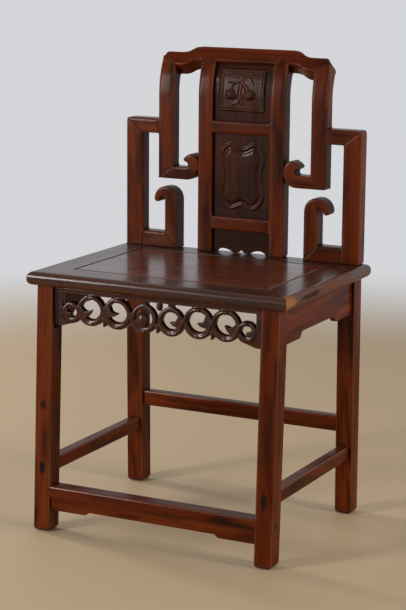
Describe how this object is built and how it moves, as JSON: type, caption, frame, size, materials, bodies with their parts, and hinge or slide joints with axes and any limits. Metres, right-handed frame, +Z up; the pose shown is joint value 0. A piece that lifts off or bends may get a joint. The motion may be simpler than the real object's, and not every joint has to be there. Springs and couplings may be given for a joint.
{
  "type": "side chair",
  "caption": "Traditional hardwood side chair with a stepped openwork back, carved splat, framed seat panel and pierced scroll apron.",
  "frame": {"origin": "on the floor, at the middle of the chair's width and depth", "axes": "+Z up, the front faces -Y, +X to the right as seen from the front"},
  "size_m": [0.536, 0.4322, 0.904],
  "materials": {
    "frame_hardwood": "polished, worn",
    "panel_hardwood": "polished, glossy",
    "carved_hardwood": "polished, dark in the recesses"
  },
  "bodies": {
    "root": {"back_apron": "frame_hardwood", "back_left_leg": "frame_hardwood", "back_right_leg": "frame_hardwood", "back_stretcher": "frame_hardwood", "crest_rail": "frame_hardwood", "front_apron": "carved_hardwood", "front_left_leg": "frame_hardwood", "front_right_leg": "frame_hardwood", "front_stretcher": "frame_hardwood", "front_stretcher_apron": "frame_hardwood", "left_apron": "frame_hardwood", "left_foot_rail": "frame_hardwood", "left_lower_scroll": "frame_hardwood", "left_outer_stile": "frame_hardwood", "left_shoulder_rail": "frame_hardwood", "left_splat_stile": "frame_hardwood", "left_stretcher": "frame_hardwood", "left_upper_hook": "frame_hardwood", "left_upper_stile": "frame_hardwood", "right_apron": "frame_hardwood", "right_foot_rail": "frame_hardwood", "right_lower_scroll": "frame_hardwood", "right_outer_stile": "frame_hardwood", "right_shoulder_rail": "frame_hardwood", "right_splat_stile": "frame_hardwood", "right_stretcher": "frame_hardwood", "right_upper_hook": "frame_hardwood", "right_upper_stile": "frame_hardwood", "seat_back_rail": "frame_hardwood", "seat_front_rail": "frame_hardwood", "seat_left_batten": "frame_hardwood", "seat_left_rail": "frame_hardwood", "seat_panel": "panel_hardwood", "seat_right_batten": "frame_hardwood", "seat_right_rail": "frame_hardwood", "splat_apron": "carved_hardwood", "splat_lower_panel": "carved_hardwood", "splat_lower_rail": "frame_hardwood", "splat_middle_rail": "frame_hardwood", "splat_upper_panel": "carved_hardwood"}
  },
  "joints": []
}
